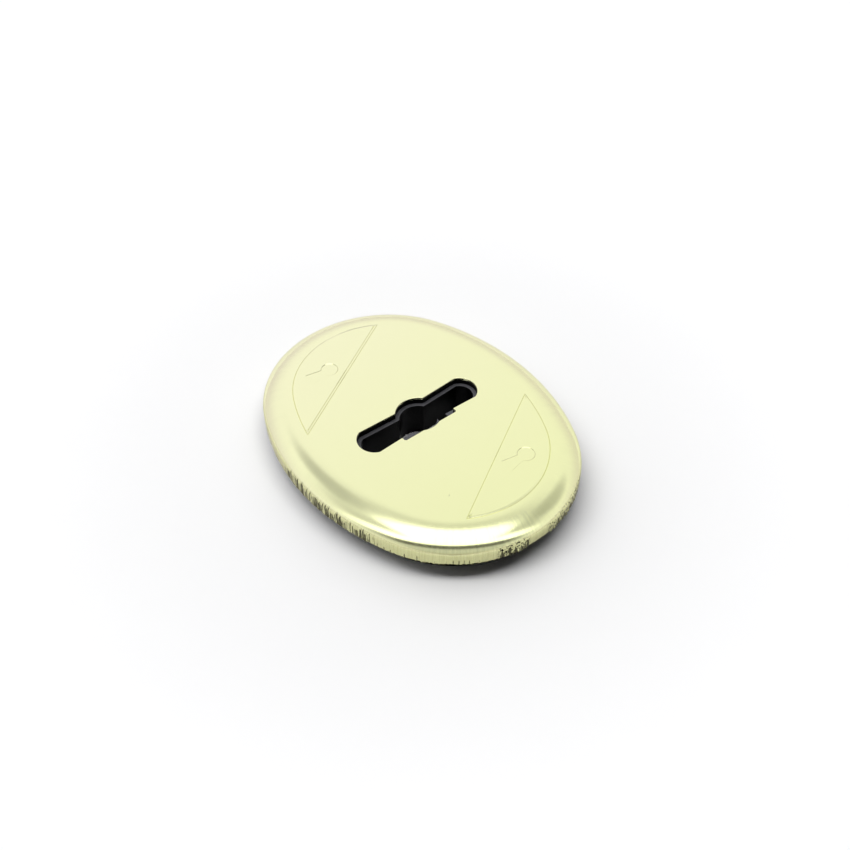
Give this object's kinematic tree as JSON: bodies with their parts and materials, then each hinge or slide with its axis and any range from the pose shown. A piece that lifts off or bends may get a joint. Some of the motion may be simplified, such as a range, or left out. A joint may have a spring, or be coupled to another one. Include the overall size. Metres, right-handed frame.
{
  "type": "keyhole escutcheon",
  "caption": "Oval clip-on keyhole escutcheon: pressed satin metal cover with raised D-shaped panels over a black moulded base, pierced by a flared key slot for a double-bit key.",
  "frame": {"origin": "on the back face, on the axis of the keyhole's round middle", "axes": "+X along the oval towards the pry notch, +Y along the key slot, +Z out of the door"},
  "size_m": [0.074, 0.057, 0.0093],
  "materials": {
    "satin_gold_sheet": "satin, fine brushed grain, draw marks on the skirt",
    "black_moulding": "matt"
  },
  "bodies": {
    "root": {"cover": "satin_gold_sheet", "base": "black_moulding"}
  },
  "joints": []
}
